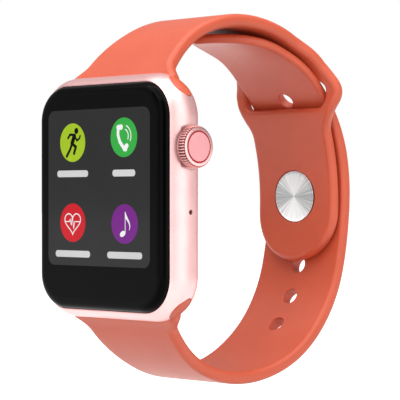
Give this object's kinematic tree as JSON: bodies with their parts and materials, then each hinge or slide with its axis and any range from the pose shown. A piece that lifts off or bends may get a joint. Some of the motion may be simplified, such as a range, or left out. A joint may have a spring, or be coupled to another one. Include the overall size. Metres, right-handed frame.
{
  "type": "gps running watch",
  "caption": "Square rose-coloured aluminium running watch with black glass, knurled crown and coral silicone pin-and-tuck strap, closed as worn.",
  "frame": {"origin": "middle of the wrist opening, 30 mm behind the case front, half way between the case's sides", "axes": "+X to the crown side, -Y out of the screen, +Z to 12 o'clock"},
  "size_m": [0.0392, 0.0585, 0.069],
  "materials": {
    "case_metal": "satin anodised rose",
    "crown_face": "brushed anodised rose",
    "crown_accent": "gloss red",
    "screen_glass": "gloss black",
    "sensor_glass": "gloss black",
    "display": "dark display",
    "gasket": "matte",
    "inner_metal": "satin",
    "battery_foil": "satin foil",
    "circuit_board": "solder mask",
    "shield": "brushed",
    "chip": "matte",
    "antenna": "satin",
    "flex": "amber film",
    "mesh": "woven",
    "gold": "gold plated",
    "steel": "turned",
    "clasp_metal": "radially brushed",
    "tungsten": "sintered",
    "back_plate": "satin black ceramic",
    "led": "clear lens",
    "photodiode": "gloss",
    "magnet": "nickel plated",
    "silicone": "matte coral silicone"
  },
  "bodies": {
    "case": {"case_frame": "case_metal", "cover_glass": "screen_glass", "glass_gasket": "gasket", "display_panel": "display", "inner_frame": "inner_metal", "battery": "battery_foil", "main_board": "circuit_board", "processor_shield": "shield", "memory_chip": "chip", "gps_antenna": "antenna", "display_flex": "flex", "battery_flex": "flex", "crown_flex": "flex", "sensor_flex": "flex", "speaker": "chip", "speaker_mesh": "mesh", "microphone": "gold", "microphone_mesh": "mesh", "motor_can": "shield", "motor_pin": "steel", "crown_bush": "steel", "crown_encoder": "chip", "crown_switch": "chip", "back_gasket": "gasket", "sensor_board": "circuit_board", "back_cover": "back_plate", "case_screws": "steel", "sensor_lens": "sensor_glass", "lens_ring": "steel", "sensor_leds": "led", "photodiodes": "photodiode", "charge_contacts": "gold", "charge_magnets": "magnet", "release_spring_upper": "steel", "release_spring_lower": "steel"},
    "thrust_plate": {"crown_thrust_plate": "steel"},
    "crown": {"crown_knob": "case_metal", "crown_ring": "crown_accent", "crown_cap": "crown_face", "crown_shaft": "steel", "crown_clip": "steel", "crown_o_rings": "gasket"},
    "motor_rotor": {"motor_rotor": "tungsten"},
    "upper_release": {"release_button_upper": "case_metal"},
    "lower_release": {"release_button_lower": "case_metal"},
    "upper_strap": {"upper_strap": "silicone", "upper_catch": "steel", "clasp_pin": "steel", "clasp_disc": "clasp_metal"},
    "lower_strap": {"lower_strap": "silicone", "lower_catch": "steel"}
  },
  "joints": [
    {"name": "crown_press", "type": "slide", "parent": "case", "child": "thrust_plate", "axis": [-1, 0, 0], "range_m": [0, 0.0003], "stiffness_N_per_m": 400, "springref_m": -0.0015},
    {"name": "crown_turn", "type": "hinge", "parent": "thrust_plate", "child": "crown", "pos_m": [0.0185, -0.0255, 0.00875], "axis": [1, 0, 0], "continuous": true},
    {"name": "motor_spin", "type": "hinge", "parent": "case", "child": "motor_rotor", "pos_m": [0.0102, -0.0262, -0.0103], "axis": [0, 1, 0], "continuous": true},
    {"name": "release_upper_press", "type": "slide", "parent": "case", "child": "upper_release", "axis": [0, -1, 0], "range_m": [0, 0.0005], "stiffness_N_per_m": 300, "springref_m": -0.001, "deforming": ["release_spring_upper"]},
    {"name": "release_lower_press", "type": "slide", "parent": "case", "child": "lower_release", "axis": [0, -1, 0], "range_m": [0, 0.0005], "stiffness_N_per_m": 300, "springref_m": -0.001, "deforming": ["release_spring_lower"]},
    {"name": "upper_strap_slide", "type": "slide", "parent": "case", "child": "upper_strap", "axis": [1, 0, 0], "range_m": [-0.032, 0.032]},
    {"name": "lower_strap_slide", "type": "slide", "parent": "case", "child": "lower_strap", "axis": [1, 0, 0], "range_m": [-0.032, 0.032]}
  ],
  "couplings": [
    {"joint": "upper_strap_slide", "follows": "lower_strap_slide", "ratio": 1}
  ]
}
